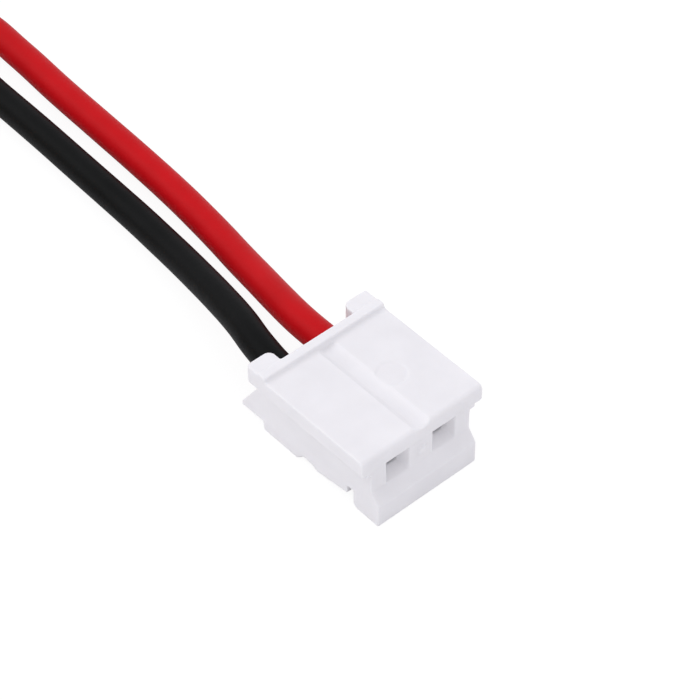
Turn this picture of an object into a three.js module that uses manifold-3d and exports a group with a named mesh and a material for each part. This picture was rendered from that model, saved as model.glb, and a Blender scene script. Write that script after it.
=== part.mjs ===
// A small single-cell lithium polymer battery pack for a model aircraft: a soft aluminium-laminate pouch
// with its wound electrodes, a protection board under polyimide tape, and two short leads in a two-way
// crimp plug. Millimetres, +Z up. The pack lies flat with its long side along Y; the leads leave its +Y end
// and curve round to the plug, whose mating face looks along +X.
import * as THREE from "three";
import { mergeVertices } from "three/addons/utils/BufferGeometryUtils.js";
import Module from "manifold-3d";

const wasm = await Module();
wasm.setup();

// ---- driving dimensions ---------------------------------------------------------------------------------
const packWidth = 20;
const packLength = 36;
const packThickness = 7.1;
const terraceDepth = 4.5; // the thin sealed end that carries the protection board
const laminate = 0.15; // pouch sheet
const sealGap = 0.3; // room between the two sheets at the sealed end, filled by the tab films
const foldedSeamHeight = 5;
const foldedSeamThickness = 0.3;
const pouchCorner = 1.6;
const tapeThickness = 0.08;
const tapeLap = 4; // how far the tape runs back over the pouch body
const labelThickness = 0.05;
const labelMargin = 2.6; // bare pouch on each side of the label
const fitGap = 0.05; // between pieces that touch
const wideGap = 0.1; // between pieces that are laid on by hand

const sheetLayer = 0.25; // separator winding
const electrodeLayer = 1.15; // cathode and anode windings
const rollEndRoom = 0.65; // free space for the tabs at the roll's front end

const tabWidth = 3;
const tabThickness = 0.1;
const tabSideRoom = 3.2; // from the pack's side to the middle of the positive tab
const tabSpacing = 6.6;
const tabFilmOverhang = 0.9;

const boardSideRoom = 0.8;
const boardDepth = 3.6;
const boardThickness = 0.6;
const foamHeight = 1.8;
const bondPlateThickness = 0.15;
const bondPlateDepth = 2;

const leadDiameter = 1.15;
const conductorDiameter = 0.55;
const leadSides = 16;
const leadSteps = 36;
const boardStrip = 1.3; // bare wire at the board
const plugStrip = 1.2; // and at the plug
const positiveLeadX = -6.6;
const negativeLeadX = -4.4;
const conductorReach = 3.1; // how far the bare wire's end lies inside the pack's front end

const plugX = 30; // front of the plug's top plate
const plugReach = 9; // from the pack's front end to the middle of the plug
const pitch = 2;
const plugWidth = 5.2; // top plate
const coreWidth = 4.3; // what enters the header
const plateLength = 4.735;
const barLength = 0.376; // raised bar across the rear of the top plate
const earLength = 0.56;
const earWidth = 1.03;
const earRound = 0.28; // inner corner
const earStep = 0.05; // how far the ears lie below the bar
const plateBottom = 2.445;
const plateTop = 3.077;
const barTop = 3.266;
const grooveWidth = 0.73;
const grooveDepth = 0.13;
const barFillet = 0.16; // between the top plate and the bar
const cavityWidth = 1;
const pinHoleWidth = 0.6;
const pinHoleFloor = 1.6;
const pinHoleRoof = 2.14;
const funnelDepth = 0.42; // lead-in of each cavity, behind the front of its walls
const rampFoot = 0.92; // top of the nose's front face, where the lead-in ramp begins
const rampSlope = 1.275; // rise for each step back
const wireRoomFloor = 0.95;
const cavityLength = 3.2;
const wireRoomWidth = 1.56;
const wireAxis = 1.7; // height of the wires in the plug
const noseLength = 0.265; // lower lip ahead of the top plate
const postSetback = 0.08;
const lipLength = 6.51; // rear lip under the wires
const sideRib = 0.2;

const contactSheet = 0.15;
const contactWidth = 0.86;
const contactHeight = 1.08;
const contactFront = -0.66;
const contactBoxLength = 2.1;
const contactFloor = 1.32;
const lanceWidth = 0.46;
const lanceSlotWidth = 0.54;
const springWidth = 0.48;

// ---- worked-out places ----------------------------------------------------------------------------------
const frontEnd = packLength / 2; // outside of the tape
const rearEnd = -packLength / 2;
const pouchBottom = tapeThickness + 0.02;
const pouchTop = packThickness - tapeThickness - 0.02;
const bodyFront = frontEnd - terraceDepth - tapeThickness;
const cupHalfWidth = packWidth / 2 - foldedSeamThickness - fitGap;
const cupBottom = pouchBottom + laminate + sealGap;
const terraceTop = cupBottom + laminate;
const positiveTabX = packWidth / 2 - tabSideRoom;
const negativeTabX = positiveTabX - tabSpacing;
const boardBack = bodyFront + 0.25;
const boardFront = boardBack + boardDepth;
const terraceFront = boardFront - 0.1;
const boardBottom = terraceTop + foamHeight + 2 * fitGap;
const boardTop = boardBottom + boardThickness;
const leadAxisOnBoard = boardTop + fitGap + leadDiameter / 2;
const conductorRadius = conductorDiameter / 2;
const conductorStartY = frontEnd - conductorReach;
const insulationStartY = conductorStartY + boardStrip;
const plugY = frontEnd + plugReach;

// ---- materials ------------------------------------------------------------------------------------------
const finish = (color, roughness, metalness) =>
  new THREE.MeshStandardMaterial({ color, roughness, metalness });
const materials = {
  laminate: finish(0xc9ccd0, 0.35, 0.9),
  separator: finish(0xf2f2ee, 0.7, 0),
  cathode: finish(0x2c2d30, 0.8, 0.1),
  anode: finish(0x4a3a30, 0.7, 0.3),
  rollTape: finish(0x3f8f5a, 0.4, 0),
  aluminium: finish(0xcfd2d6, 0.3, 1),
  nickel: finish(0xb9b6ac, 0.3, 1),
  film: finish(0xe9e9e2, 0.5, 0),
  foam: finish(0xf4f4f0, 0.95, 0),
  board: finish(0x155a34, 0.5, 0),
  chip: finish(0x161618, 0.6, 0),
  ceramic: finish(0xb49a78, 0.5, 0),
  solder: finish(0xb5b8ba, 0.25, 1),
  tape: finish(0xd08a1c, 0.25, 0),
  label: finish(0x1d2a44, 0.35, 0),
  redPvc: finish(0xc4151b, 0.4, 0),
  blackPvc: finish(0x1b1c1e, 0.4, 0),
  tinnedCopper: finish(0xc2c0b8, 0.35, 1),
  nylon: finish(0xf1f0f3, 0.45, 0),
  bronze: finish(0xc0b79c, 0.3, 1),
};

// ---- solids ---------------------------------------------------------------------------------------------
// A closed three.js geometry as a solid for joining and cutting.
function solid(geometry) {
  const bare = geometry.clone();
  bare.deleteAttribute("normal");
  bare.deleteAttribute("uv");
  const merged = mergeVertices(bare, 1e-4);
  return new wasm.Manifold(
    new wasm.Mesh({
      numProp: 3,
      vertProperties: merged.attributes.position.array,
      triVerts: new Uint32Array(merged.index.array),
    }),
  );
}

// The solid's surface as a three.js geometry again.
function surface(made) {
  const mesh = made.getMesh();
  const points = new Float32Array(mesh.numVert * 3);
  for (let i = 0; i < mesh.numVert; i++) {
    points.set(mesh.vertProperties.subarray(i * mesh.numProp, i * mesh.numProp + 3), i * 3);
  }
  const geometry = new THREE.BufferGeometry();
  geometry.setAttribute("position", new THREE.BufferAttribute(points, 3));
  geometry.setIndex(new THREE.BufferAttribute(mesh.triVerts, 1));
  geometry.computeVertexNormals();
  return geometry;
}

const joined = (...solids) => solids.reduce((whole, next) => whole.add(next));
const cut = (body, ...tools) => tools.reduce((left, tool) => left.subtract(tool), body);

function block([x0, x1], [y0, y1], [z0, z1]) {
  const geometry = new THREE.BoxGeometry(x1 - x0, y1 - y0, z1 - z0);
  geometry.translate((x0 + x1) / 2, (y0 + y1) / 2, (z0 + z1) / 2);
  return solid(geometry);
}

const outline = (points) => new THREE.Shape(points.map(([a, b]) => new THREE.Vector2(a, b)));

// A shape drawn in X and Z, run along Y from y0 to y1.
function alongY(shape, [y0, y1], curveSegments = 6) {
  const geometry = new THREE.ExtrudeGeometry(shape, { depth: y1 - y0, bevelEnabled: false, curveSegments });
  geometry.applyMatrix4(new THREE.Matrix4().set(1, 0, 0, 0, 0, 0, -1, y1, 0, 1, 0, 0, 0, 0, 0, 1));
  return solid(geometry);
}

// A shape drawn in Y and Z, run along X from x0 to x1.
function alongX(shape, [x0, x1], curveSegments = 6) {
  const geometry = new THREE.ExtrudeGeometry(shape, { depth: x1 - x0, bevelEnabled: false, curveSegments });
  geometry.applyMatrix4(new THREE.Matrix4().set(0, 0, 1, x0, 1, 0, 0, 0, 0, 1, 0, 0, 0, 0, 0, 1));
  return solid(geometry);
}

// A shape drawn in X and Y, raised from z0 to z1.
function alongZ(shape, [z0, z1], curveSegments = 6) {
  const geometry = new THREE.ExtrudeGeometry(shape, { depth: z1 - z0, bevelEnabled: false, curveSegments });
  geometry.translate(0, 0, z0);
  return solid(geometry);
}

// A rectangle with its corners rounded, as a shape.
function roundedRectangle([a0, a1], [b0, b1], radius) {
  const r = Math.min(radius, (a1 - a0) / 2 - 1e-3, (b1 - b0) / 2 - 1e-3);
  const shape = new THREE.Shape();
  shape.moveTo(a0 + r, b0);
  shape.lineTo(a1 - r, b0);
  shape.absarc(a1 - r, b0 + r, r, -Math.PI / 2, 0);
  shape.lineTo(a1, b1 - r);
  shape.absarc(a1 - r, b1 - r, r, 0, Math.PI / 2);
  shape.lineTo(a0 + r, b1);
  shape.absarc(a0 + r, b1 - r, r, Math.PI / 2, Math.PI);
  shape.lineTo(a0, b0 + r);
  shape.absarc(a0 + r, b0 + r, r, Math.PI, 1.5 * Math.PI);
  return shape;
}

// A flat strip of even thickness whose centreline in one plane is the list of points.
function stripOutline(points, thickness) {
  const side = (sign) =>
    points.map(([a, b], i) => {
      const [pa, pb] = points[Math.max(i - 1, 0)];
      const [na, nb] = points[Math.min(i + 1, points.length - 1)];
      const before = new THREE.Vector2(a - pa, b - pb);
      const after = new THREE.Vector2(na - a, nb - b);
      if (before.length() === 0) before.copy(after);
      if (after.length() === 0) after.copy(before);
      before.normalize();
      after.normalize();
      const normal = new THREE.Vector2(-before.y - after.y, before.x + after.x).normalize();
      const reach = thickness / 2 / Math.max(0.5, normal.dot(new THREE.Vector2(-before.y, before.x)));
      return [a + sign * normal.x * reach, b + sign * normal.y * reach];
    });
  return outline([...side(-1), ...side(1).reverse()]);
}

function ring(outerRadius, innerRadius, [x0, x1], [y, z], segments = 12) {
  const shape = new THREE.Shape();
  shape.absarc(y, z, outerRadius, 0, 2 * Math.PI);
  const hole = new THREE.Path();
  hole.absarc(y, z, innerRadius, 0, 2 * Math.PI, true);
  shape.holes.push(hole);
  return alongX(shape, [x0, x1], segments);
}

const group = new THREE.Group();
const plug = new THREE.Group(); // its own X runs out of the mating face, from the front of the top plate
plug.position.set(plugX, plugY, 0);
group.add(plug);

function piece(name, made, material, parent = group) {
  const mesh = new THREE.Mesh(surface(made), material);
  mesh.name = name;
  parent.add(mesh);
  return mesh;
}

// ---- pouch ----------------------------------------------------------------------------------------------
function pouchBaseSheet() {
  const half = packWidth / 2;
  const inner = half - foldedSeamThickness;
  const seamTop = pouchBottom + foldedSeamHeight;
  const floor = block([-half, half], [rearEnd, terraceFront], [pouchBottom, pouchBottom + laminate]);
  const seams = [-1, 1].map((side) => {
    const across = side < 0 ? [-half, -inner] : [inner, half];
    return block(across, [rearEnd, bodyFront], [pouchBottom, seamTop]);
  });
  return joined(floor, ...seams);
}

function pouchCup() {
  const bodyOutline = (inset) =>
    roundedRectangle(
      [-cupHalfWidth + inset, cupHalfWidth - inset],
      [cupBottom - 2 * pouchCorner, pouchTop - inset],
      pouchCorner,
    );
  const outside = alongY(bodyOutline(0), [rearEnd, bodyFront]);
  const inside = alongY(bodyOutline(laminate), [rearEnd + laminate, bodyFront - laminate]);
  const below = block([-packWidth, packWidth], [2 * rearEnd, 2 * frontEnd], [-packThickness, cupBottom]);
  const terrace = block(
    [-cupHalfWidth, cupHalfWidth],
    [bodyFront - laminate, terraceFront],
    [cupBottom, terraceTop],
  );
  return joined(cut(outside, inside, below), terrace);
}

// ---- wound electrodes -----------------------------------------------------------------------------------
const rollHalfWidth = cupHalfWidth - laminate - wideGap;
const rollBottom = pouchBottom + laminate + fitGap;
const rollTop = pouchTop - laminate - wideGap;
const rollBack = rearEnd + laminate + wideGap;
const rollFront = bodyFront - laminate - rollEndRoom;

// One flat winding between two depths below the roll's outside.
function winding(outerDepth, innerDepth) {
  const flat = (depth) =>
    roundedRectangle(
      [-rollHalfWidth + depth, rollHalfWidth - depth],
      [rollBottom + depth, rollTop - depth],
      (rollTop - rollBottom) / 2 - depth,
    );
  const whole = alongY(flat(outerDepth), [rollBack, rollFront]);
  if (innerDepth === undefined) return whole;
  return cut(whole, alongY(flat(innerDepth), [rollBack - 1, rollFront + 1]));
}

const cathodeDepth = sheetLayer + fitGap;
const innerSeparatorDepth = cathodeDepth + electrodeLayer + fitGap;
const anodeDepth = innerSeparatorDepth + sheetLayer + fitGap;

// The strip of tape that stops the roll unwinding, over its front end and between the tabs.
function rollEndTape() {
  const reach = 1.2;
  const x = (positiveTabX + negativeTabX) / 2;
  return block(
    [x - reach, x + reach],
    [rollFront + fitGap, rollFront + fitGap + 0.12],
    [rollBottom + 1.25, rollTop - 1.25],
  );
}

// ---- tabs -----------------------------------------------------------------------------------------------
const sealMiddle = pouchBottom + laminate + sealGap / 2;
const tabRiseY = boardFront + wideGap + tabThickness / 2;
const tabEndZ = boardTop + bondPlateThickness + 2 * fitGap + tabThickness / 2;

// From the roll's end down into the seal, out through the terrace, up past the board and back over it.
function tab(x) {
  const startY = rollFront + wideGap + 0.2;
  const profile = stripOutline(
    [
      [startY, sealMiddle + 2.2],
      [startY, sealMiddle],
      [tabRiseY, sealMiddle],
      [tabRiseY, tabEndZ],
      [boardFront - bondPlateDepth, tabEndZ],
    ],
    tabThickness,
  );
  return alongX(profile, [x - tabWidth / 2, x + tabWidth / 2]);
}

function tabFilm(x) {
  const half = tabWidth / 2;
  const body = block(
    [x - half - tabFilmOverhang, x + half + tabFilmOverhang],
    [bodyFront - laminate, terraceFront + 0.15],
    [sealMiddle - sealGap / 2 + 0.02, sealMiddle + sealGap / 2 - 0.02],
  );
  const slit = block(
    [x - half - 0.02, x + half + 0.02],
    [bodyFront - 1, frontEnd],
    [sealMiddle - tabThickness / 2 - 0.02, sealMiddle + tabThickness / 2 + 0.02],
  );
  return cut(body, slit);
}

// ---- protection board -----------------------------------------------------------------------------------
const boardSpanX = [-packWidth / 2 + boardSideRoom, packWidth / 2 - boardSideRoom];
const boardSpanY = [boardBack, boardFront];

function bondPlate(x) {
  const half = tabWidth / 2 + 0.2;
  const back = boardFront - bondPlateDepth - 0.1;
  return block([x - half, x + half], [back, boardFront - 0.1], [boardTop, boardTop + bondPlateThickness]);
}

// name, X from midway between the tabs, Y from the board's back edge, length along X, depth along Y, height
const boardParts = [
  ["mosfet_chip", 0, 2.35, 2.9, 1.6, 1.05, "chip"],
  ["protection_ic", 0, 0.75, 1.6, 1.0, 0.55, "chip"],
  ["sense_resistor", -2.2, 0.75, 1.2, 0.65, 0.4, "chip"],
  ["filter_resistor", 2.2, 0.75, 1.2, 0.65, 0.4, "chip"],
  ["filter_capacitor", -3.9, 0.75, 1.2, 0.65, 0.6, "ceramic"],
  ["output_capacitor", 3.9, 0.75, 1.2, 0.65, 0.6, "ceramic"],
];

function boardPart(fromMiddle, y, length, depth, height) {
  const x = (positiveTabX + negativeTabX) / 2 + fromMiddle;
  const middle = boardBack + y;
  return block(
    [x - length / 2, x + length / 2],
    [middle - depth / 2, middle + depth / 2],
    [boardTop + 0.02, boardTop + 0.02 + height],
  );
}

// A low mound of solder that holds the bare end of a lead on its pad.
function solderJoint(x) {
  const radius = 0.85;
  const length = 1.2;
  const mound = new THREE.SphereGeometry(radius, 14, 10);
  mound.scale(1, length / radius, (leadAxisOnBoard + conductorRadius + 0.25 - boardTop) / radius);
  mound.translate(x, conductorStartY + 0.45, boardTop);
  const below = block([x - 2, x + 2], [boardBack - 2, frontEnd], [boardTop - 3, boardTop + 0.02]);
  const past = block([x - 2, x + 2], [insulationStartY - fitGap, frontEnd], [boardTop - 3, boardTop + 3]);
  const wire = block(
    [x - conductorRadius - 0.03, x + conductorRadius + 0.03],
    [conductorStartY - 0.03, frontEnd],
    [leadAxisOnBoard - conductorRadius - 0.03, leadAxisOnBoard + conductorRadius + 0.03],
  );
  return cut(solid(mound), below, past, wire);
}

// ---- tape over the board --------------------------------------------------------------------------------
const tapeBack = bodyFront - tapeLap;

function boardTape() {
  const reach = packWidth / 2 - 0.15;
  const outside = [
    [tapeBack, 0],
    [frontEnd, 0],
    [frontEnd, leadAxisOnBoard + 0.75],
    [frontEnd - 1.1, leadAxisOnBoard + 1.35],
    [bodyFront + 0.1, packThickness],
    [tapeBack, packThickness],
  ];
  const inset = (depth) => [
    [tapeBack - 1, depth],
    [frontEnd - depth, depth],
    [frontEnd - depth, leadAxisOnBoard + 0.75 - 0.7 * depth],
    [frontEnd - 1.1 - 0.5 * depth, leadAxisOnBoard + 1.35 - 0.8 * depth],
    [bodyFront + 0.1 - 0.5 * depth, packThickness - depth],
    [tapeBack - 1, packThickness - depth],
  ];
  const outer = alongX(outline(outside), [-reach, reach]);
  const wrap = cut(outer, alongX(outline(inset(tapeThickness)), [-packWidth, packWidth]));
  const exits = [positiveLeadX, negativeLeadX].map((x) => {
    const half = leadDiameter / 2 + wideGap;
    const height = [leadAxisOnBoard - half, leadAxisOnBoard + half];
    return block([x - half, x + half], [frontEnd - 0.6, frontEnd + 1], height);
  });
  return cut(wrap, ...exits);
}

function label() {
  const across = [-packWidth / 2 + labelMargin, packWidth / 2 - labelMargin];
  const along = [rearEnd + labelMargin, tapeBack - labelMargin];
  const height = [pouchTop + 0.01, pouchTop + 0.01 + labelThickness];
  return alongZ(roundedRectangle(across, along, 1), height);
}

// ---- leads ----------------------------------------------------------------------------------------------
// Both leads run from the board over the pack's end, down to the surface, round to +X and up into the plug.
const fromBoard = (x) => [0, boardStrip, conductorReach].map((y) => [x, conductorStartY + y, leadAxisOnBoard]);
const intoPlug = (y) => [-5.7, -4.4, -3.45].map((x) => [plugX + x, plugY + y, wireAxis]);

// X, distance ahead of the pack's front end, Z
const positiveBend = [
  [-6.62, 1.6, 3.35],
  [-6.55, 3.4, 2.25],
  [-6.1, 5.2, 1.2],
  [-5.15, 7.0, 0.68],
  [-3.9, 8.6, 0.59],
  [-2.2, 10.2, 0.59],
  [-0.3, 11.4, 0.59],
  [1.7, 12.0, 0.59],
  [4.4, 12.0, 0.59],
  [7.1, 11.85, 0.59],
  [9.6, 11.76, 0.59],
  [12.05, 11.67, 0.59],
  [14.5, 11.53, 0.59],
  [15.8, 11.4, 0.61],
  [17.1, 11.23, 0.66],
  [18.5, 10.97, 0.8],
  [19.95, 10.67, 1.05],
  [21.4, 10.34, 1.35],
  [22.8, 10.08, 1.6],
];
const negativeBend = [
  [-4.42, 1.4, 3.4],
  [-4.35, 2.9, 2.45],
  [-4.0, 4.4, 1.4],
  [-3.2, 6.0, 0.74],
  [-2.1, 7.4, 0.59],
  [-0.6, 8.7, 0.59],
  [1.2, 9.6, 0.59],
  [3.4, 9.98, 0.59],
  [5.9, 9.95, 0.59],
  [8.4, 9.91, 0.59],
  [10.9, 9.83, 0.59],
  [13.3, 9.75, 0.6],
  [14.5, 9.7, 0.61],
  [15.8, 9.59, 0.67],
  [17.1, 9.44, 0.79],
  [18.45, 9.22, 0.99],
  [19.9, 8.93, 1.26],
  [21.36, 8.6, 1.51],
  [22.9, 8.2, 1.66],
];
const ahead = (bend) => bend.map(([x, y, z]) => [x, frontEnd + y, z]);
const positiveRoute = [...fromBoard(positiveLeadX), ...ahead(positiveBend), ...intoPlug(pitch / 2)];
const negativeRoute = [...fromBoard(negativeLeadX), ...ahead(negativeBend), ...intoPlug(-pitch / 2)];

// Places along a route: one at each end of the bare wire, and even steps along the insulated stretch.
function leadStations(points) {
  const curve = new THREE.CatmullRomCurve3(points.map((p) => new THREE.Vector3(...p)), false, "centripetal");
  curve.arcLengthDivisions = 2000;
  const length = curve.getLength();
  const insulated = length - boardStrip - plugStrip;
  const shares = [0];
  for (let i = 0; i <= leadSteps; i++) {
    shares.push((boardStrip + (insulated * i) / leadSteps) / length);
  }
  shares.push(1);
  return shares.map((share) => ({ point: curve.getPointAt(share), along: curve.getTangentAt(share) }));
}

// A round bar or tube through the given places, with flat ends.
function roundSweep(stations, radius, innerRadius = 0) {
  const points = [];
  const corners = [];
  const radii = innerRadius > 0 ? [radius, innerRadius] : [radius];
  for (const { point, along } of stations) {
    const side = new THREE.Vector3(0, 0, 1).cross(along).normalize();
    const over = along.clone().cross(side);
    for (const r of radii) {
      for (let k = 0; k < leadSides; k++) {
        const turn = (2 * Math.PI * k) / leadSides;
        const out = side.clone().multiplyScalar(r * Math.cos(turn)).addScaledVector(over, r * Math.sin(turn));
        points.push(...point.clone().add(out).toArray());
      }
    }
  }
  const perStation = radii.length * leadSides;
  const at = (station, wall, k) => station * perStation + wall * leadSides + (k % leadSides);
  const quad = (a, b, c, d) => corners.push(a, b, c, a, c, d);
  const last = stations.length - 1;
  for (let k = 0; k < leadSides; k++) {
    for (let i = 0; i < last; i++) {
      quad(at(i, 0, k), at(i, 0, k + 1), at(i + 1, 0, k + 1), at(i + 1, 0, k));
      if (innerRadius > 0) quad(at(i, 1, k), at(i + 1, 1, k), at(i + 1, 1, k + 1), at(i, 1, k + 1));
    }
    if (innerRadius > 0) {
      quad(at(0, 0, k), at(0, 1, k), at(0, 1, k + 1), at(0, 0, k + 1));
      quad(at(last, 0, k), at(last, 0, k + 1), at(last, 1, k + 1), at(last, 1, k));
    } else if (k > 0 && k < leadSides - 1) {
      corners.push(at(0, 0, 0), at(0, 0, k + 1), at(0, 0, k));
      corners.push(at(last, 0, 0), at(last, 0, k), at(last, 0, k + 1));
    }
  }
  return new wasm.Manifold(
    new wasm.Mesh({
      numProp: 3,
      vertProperties: new Float32Array(points),
      triVerts: new Uint32Array(corners),
    }),
  );
}

function lead(name, points, material) {
  const stations = leadStations(points);
  const insulation = roundSweep(stations.slice(1, -1), leadDiameter / 2, conductorRadius + 0.04);
  piece(name + "_insulation", insulation, material);
  piece(name + "_conductor", roundSweep(stations, conductorRadius), materials.tinnedCopper);
}

// ---- plug -----------------------------------------------------------------------------------------------
// In the plug's own frame: X from the front of its top plate, Y across, Z up from its underside.
const wallHalf = coreWidth / 2;
const plateHalf = plugWidth / 2;
const wires = [-pitch / 2, pitch / 2];
const rampAt = (x) => rampFoot + (noseLength - x) * rampSlope;

const lanceRoot = [contactFront - 0.62, contactFloor + contactSheet / 2];
const lanceTip = contactFront - 1.95;

// The housing seen from its side, without the top plate. Its walls slant down to the rear lip.
function plugSideOutline() {
  const wallBack = -(plateLength + barLength) - 0.12;
  return outline([
    [-lipLength, 0.35],
    [-5.43, 0.38],
    [-5.39, 0],
    [-3.72, 0],
    [-3.41, 0.3],
    [-2.96, 0.28],
    [-2.72, 0.15],
    [-1.24, 0.38],
    [-1.24, 0.73],
    [-0.95, 0.73],
    [-0.95, 0.14],
    [-0.8, 0],
    [noseLength, 0],
    [noseLength, rampFoot],
    [-postSetback, rampAt(-postSetback)],
    [-postSetback, plateBottom],
    [wallBack, plateBottom],
    [-lipLength, 0.52],
  ]);
}

function plugHousing() {
  const back = -(plateLength + barLength);
  const core = alongY(plugSideOutline(), [-wallHalf, wallHalf]);
  const topOutline = outline([
    [back, plateBottom - 0.01],
    [0, plateBottom - 0.01],
    [0, plateTop - 0.15],
    [-0.05, plateTop - 0.05],
    [-0.15, plateTop],
    [-plateLength + barFillet, plateTop],
    [-plateLength + 0.4 * barFillet, plateTop + 0.1 * barFillet],
    [-plateLength + 0.1 * barFillet, plateTop + 0.4 * barFillet],
    [-plateLength, barTop - 0.03],
    [-plateLength - 0.03, barTop],
    [back + 0.05, barTop],
    [back, barTop - 0.05],
  ]);
  const top = alongY(topOutline, [-plateHalf, plateHalf]);
  const ears = [earOutline(-1, 0.16), earOutline(1, 0.06)].map((shape) =>
    alongZ(shape, [plateBottom + 0.05, barTop - earStep], 4),
  );
  const ribs = [-1, 1].map((side) =>
    block(
      [-plateLength, -postSetback],
      side < 0 ? [-wallHalf - sideRib, -wallHalf + 0.1] : [wallHalf - 0.1, wallHalf + sideRib],
      [plateBottom - 0.25, plateBottom],
    ),
  );
  const cavities = wires.flatMap((y) => [
    ...pinEntry(y),
    block(
      [-cavityLength, contactFront + fitGap],
      [y - cavityWidth / 2, y + cavityWidth / 2],
      [contactFloor - fitGap, plateBottom],
    ),
    block(
      [-lipLength - 1, -cavityLength],
      [y - wireRoomWidth / 2, y + wireRoomWidth / 2],
      [wireRoomFloor, plateBottom],
    ),
    block([lanceTip - 0.2, lanceRoot[0] + 0.1], [y - 0.3, y + 0.3], [-1, contactFloor]),
  ]);
  return cut(joined(core, top, ...ears, ...ribs, wallBoss()), topGroove(), ejectorMark(), ...cavities);
}

// One of the two ears behind the bar: a wide round at its inner corner, a tighter one at the outer.
function earOutline(side, outerRadius) {
  const front = -(plateLength + barLength) + 0.3;
  const back = -(plateLength + barLength) - earLength;
  const outer = plateHalf;
  const inner = plateHalf - earWidth;
  const shape = new THREE.Shape();
  shape.moveTo(front, inner);
  shape.lineTo(front, outer);
  shape.lineTo(back + outerRadius, outer);
  shape.absarc(back + outerRadius, outer - outerRadius, outerRadius, Math.PI / 2, Math.PI);
  shape.lineTo(back, inner + earRound);
  shape.absarc(back + earRound, inner + earRound, earRound, Math.PI, 1.5 * Math.PI);
  if (side > 0) return shape;
  return new THREE.Shape(shape.getPoints(6).map((p) => new THREE.Vector2(p.x, -p.y)));
}

// A shallow channel with a round bottom along the middle of the top plate.
function topGroove() {
  const radius = (grooveWidth * grooveWidth / 4 + grooveDepth * grooveDepth) / (2 * grooveDepth);
  const shape = new THREE.Shape();
  shape.absarc(0, plateTop - grooveDepth + radius, radius, 0, 2 * Math.PI);
  return alongX(shape, [-plateLength + 0.06, 1], 30);
}

// The shallow round mark of an ejector pin.
function ejectorMark() {
  const geometry = new THREE.CylinderGeometry(0.55, 0.55, 0.2, 24);
  geometry.rotateX(Math.PI / 2);
  geometry.translate(-2.36, 0.78, plateTop + 0.1 - 0.03);
  return solid(geometry);
}

// A low round boss in the middle of the wall between the two cavities.
function wallBoss() {
  const geometry = new THREE.CylinderGeometry(0.15, 0.27, 0.2, 18);
  geometry.rotateZ(-Math.PI / 2);
  geometry.translate(-postSetback + 0.01, 0, (rampAt(-postSetback) + plateBottom) / 2);
  return solid(geometry);
}

// Where a pin enters: a four-sided funnel that narrows to a square hole in front of the contact.
function pinEntry(y) {
  const back = -postSetback - funnelDepth;
  const near = [cavityWidth / 2, rampAt(-postSetback), plateBottom];
  const far = [pinHoleWidth / 2, pinHoleFloor, pinHoleRoof];
  const past = 0.1; // the funnel is drawn on past the front so that it cuts cleanly
  const edge = near.map((value, i) => value + ((value - far[i]) * past) / funnelDepth);
  const rectangle = (x, [half, low, high]) => [
    [x, y - half, low],
    [x, y + half, low],
    [x, y + half, high],
    [x, y - half, high],
  ];
  const corners = [...rectangle(back, far), ...rectangle(-postSetback + past, edge)];
  const ends = [0, 2, 1, 0, 3, 2, 4, 5, 6, 4, 6, 7];
  const sides = [0, 1, 2, 3].flatMap((i) => {
    const next = (i + 1) % 4;
    return [i, next, next + 4, i, next + 4, i + 4];
  });
  const geometry = new THREE.BufferGeometry();
  geometry.setAttribute("position", new THREE.BufferAttribute(new Float32Array(corners.flat()), 3));
  geometry.setIndex([...ends, ...sides]);
  const below = block([-1, 1], [y - 1, y + 1], [0, plateBottom]);
  const hole = block(
    [contactFront, back + 0.02],
    [y - pinHoleWidth / 2, y + pinHoleWidth / 2],
    [pinHoleFloor, pinHoleRoof],
  );
  return [solid(geometry).intersect(below), hole];
}

// A stamped and folded contact: pin box with a slot for its lance, then the two crimp barrels.
function contact(y) {
  const half = contactWidth / 2;
  const back = contactFront - contactBoxLength;
  const roof = contactFloor + contactHeight;
  const box = block([back, contactFront], [y - half, y + half], [contactFloor, roof]);
  const inside = block(
    [back - 0.2, contactFront + 1],
    [y - half + contactSheet, y + half - contactSheet],
    [contactFloor + contactSheet, roof - contactSheet],
  );
  const slot = block(
    [back - 0.12, contactFront - 0.55],
    [y - lanceSlotWidth / 2, y + lanceSlotWidth / 2],
    [contactFloor - 1, contactFloor + contactSheet + 0.05],
  );
  const neck = block([-3.4, back + 0.3], [y - 0.4, y + 0.4], [contactFloor, contactFloor + contactSheet]);
  const stepOutline = stripOutline(
    [
      [-4.48, wireAxis - 0.66],
      [-4.3, wireAxis - 0.63],
      [-4.12, wireAxis - 0.39],
      [-3.95, wireAxis - 0.36],
    ],
    0.12,
  );
  const step = alongY(stepOutline, [y - 0.25, y + 0.25]);
  const wireBarrel = ring(0.42, conductorRadius + 0.04, [-4.05, -3.35], [y, wireAxis]);
  const gripBarrel = ring(0.7, leadDiameter / 2 + 0.03, [-5.05, -4.45], [y, wireAxis]);
  return joined(cut(joined(box, neck), inside, slot), wireBarrel, step, gripBarrel);
}

// The spring tongue hangs from the front of the pin box's roof and presses the pin down.
const springRoot = [contactFront - 0.15, contactFloor + contactHeight - contactSheet - 0.1];

function contactSpring(y) {
  const profile = stripOutline(
    [
      springRoot,
      [contactFront - 0.5, contactFloor + 0.76],
      [contactFront - 1.1, contactFloor + 0.62],
      [contactFront - 1.6, contactFloor + 0.7],
    ],
    contactSheet,
  );
  return alongY(profile, [y - springWidth / 2, y + springWidth / 2]);
}

// The lance slopes down and back out of the slot, and its tip catches the edge of the housing's window.
function contactLance(y) {
  const bend = [contactFront - 1.3, contactFloor - 0.12];
  const tip = [lanceTip, contactFloor - 0.34];
  const profile = stripOutline([lanceRoot, bend, tip], contactSheet);
  return alongY(profile, [y - lanceWidth / 2, y + lanceWidth / 2]);
}

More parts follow.
